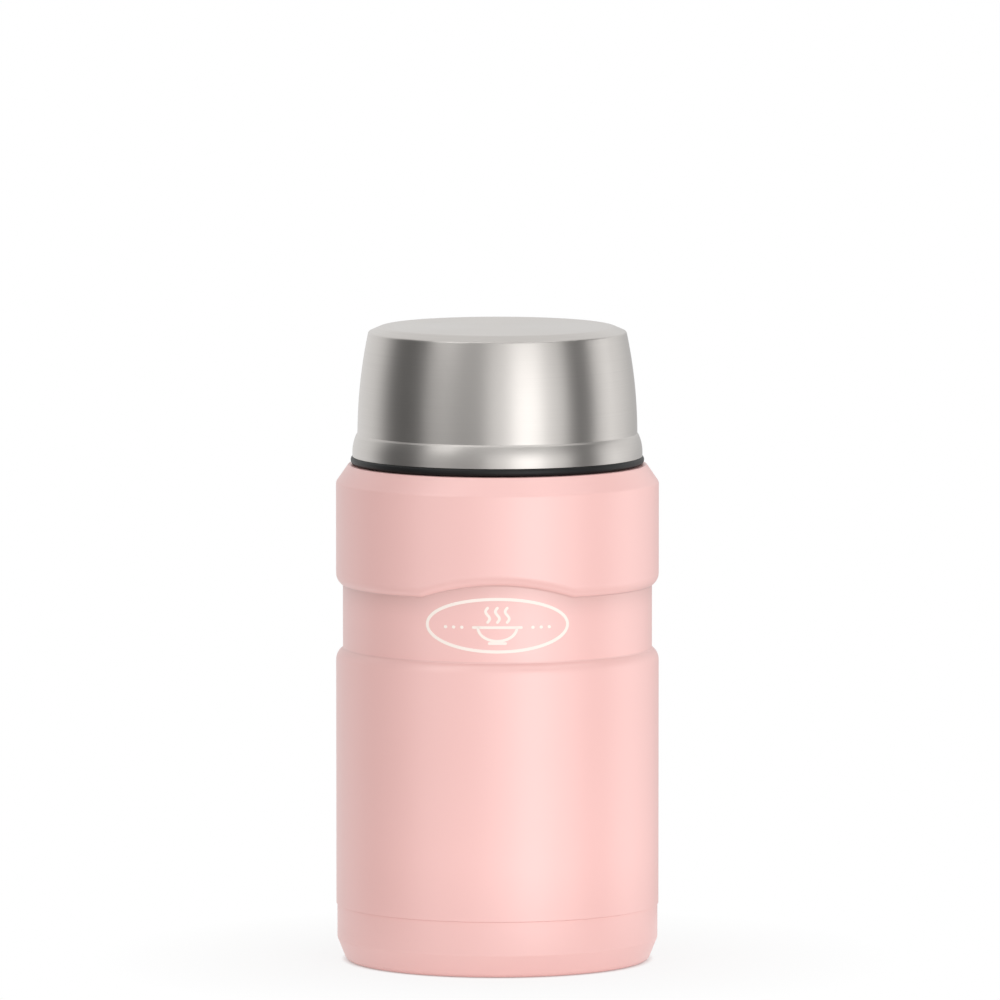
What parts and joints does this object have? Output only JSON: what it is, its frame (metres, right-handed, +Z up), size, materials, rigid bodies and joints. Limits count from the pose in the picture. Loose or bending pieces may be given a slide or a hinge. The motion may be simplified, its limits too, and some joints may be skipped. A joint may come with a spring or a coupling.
{
  "type": "insulated food jar",
  "caption": "Round double-wall vacuum food jar with a waist band, a screw-in insulated stopper and a double-wall steel bowl that screws on as the lid.",
  "frame": {"origin": "centre of the resting face, on the ground", "axes": "+Z up along the jar's axis, -Y towards the front with the emblem arch, +X to the right seen from the front"},
  "size_m": [0.1, 0.1, 0.197],
  "materials": {
    "body_coat": "matte powder coat",
    "bare_steel": "electropolished stainless steel",
    "brushed_steel": "satin brushed stainless steel",
    "black_plastic": "fine matte moulded polypropylene",
    "silicone": "satin translucent silicone",
    "foam": "closed-cell insulating foam",
    "foil": "bright copper foil",
    "getter": "pressed metal powder",
    "seal_glass": "fused sealing glass"
  },
  "bodies": {
    "jar": {"outer_shell": "body_coat", "base_cup": "body_coat", "outer_bottom": "bare_steel", "vacuum_seal": "seal_glass", "getter_pellet": "getter", "getter_clip": "bare_steel", "inner_vessel": "bare_steel", "inner_bottom": "bare_steel", "reflective_foil": "foil"},
    "stopper_seal": {"stopper_gasket": "silicone"},
    "stopper": {"stopper_plug": "black_plastic", "stopper_cover": "black_plastic", "stopper_foam": "foam"},
    "bowl_seal": {"bowl_gasket": "silicone"},
    "bowl": {"bowl_outer_shell": "brushed_steel", "bowl_liner": "bare_steel", "bowl_thread_ring": "black_plastic", "bowl_gap_seal": "silicone"}
  },
  "joints": [
    {"name": "stopper_rise", "type": "slide", "parent": "jar", "child": "stopper_seal", "axis": [0, 0, 1], "range_m": [0, 0.049]},
    {"name": "stopper_turn", "type": "hinge", "parent": "stopper_seal", "child": "stopper", "pos_m": [0, 0, 0.15], "axis": [0, 0, 1], "range_deg": [0, 1080]},
    {"name": "bowl_rise", "type": "slide", "parent": "stopper", "child": "bowl_seal", "axis": [0, 0, 1], "range_m": [0, 0.033]},
    {"name": "bowl_turn", "type": "hinge", "parent": "bowl_seal", "child": "bowl", "pos_m": [0, 0, 0.17], "axis": [0, 0, 1], "range_deg": [0, 720]}
  ],
  "couplings": [
    {"joint": "stopper_rise", "follows": "stopper_turn", "m_per_rad": 0.0025465},
    {"joint": "bowl_rise", "follows": "bowl_turn", "m_per_rad": 0.0025465}
  ]
}
